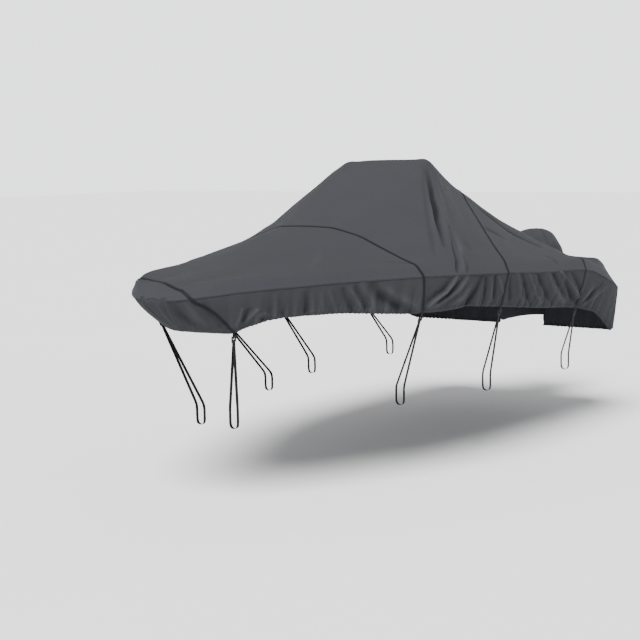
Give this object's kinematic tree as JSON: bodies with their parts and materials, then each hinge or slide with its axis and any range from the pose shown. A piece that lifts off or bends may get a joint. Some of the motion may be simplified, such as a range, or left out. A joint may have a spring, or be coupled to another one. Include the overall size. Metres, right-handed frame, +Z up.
{
  "type": "fitted boat cover",
  "caption": "Fitted grey boat cover: ridged top in two panels, elastic-hemmed skirt, stern hood, over straps with slide buckles and tie-down loops.",
  "frame": {"origin": "2 mm under the cloth at the middle of the top ridge, where the cover is held up from below", "axes": "+X aft along the cover, +Y starboard, +Z up"},
  "size_m": [5.536, 2.3653, 1.795],
  "materials": {
    "cover_cloth": "matte coated woven polyester, charcoal grey",
    "webbing": "matte woven webbing, black",
    "buckle_plastic": "moulded black plastic"
  },
  "bodies": {
    "root": {"bow_panel": "cover_cloth", "stern_panel": "cover_cloth", "skirt_port": "cover_cloth", "skirt_starboard": "cover_cloth", "motor_hood": "cover_cloth", "strap_bow": "webbing", "strap_fore": "webbing", "strap_mid": "webbing", "strap_stern": "webbing", "loop_bow_port": "webbing", "loop_bow_starboard": "webbing", "loop_fore_port": "webbing", "loop_fore_starboard": "webbing", "loop_mid_port": "webbing", "loop_mid_starboard": "webbing", "loop_stern_port": "webbing", "loop_stern_starboard": "webbing", "buckle_bow_port": "buckle_plastic", "buckle_bow_starboard": "buckle_plastic", "buckle_fore_port": "buckle_plastic", "buckle_fore_starboard": "buckle_plastic", "buckle_mid_port": "buckle_plastic", "buckle_mid_starboard": "buckle_plastic", "buckle_stern_port": "buckle_plastic", "buckle_stern_starboard": "buckle_plastic"}
  },
  "joints": []
}
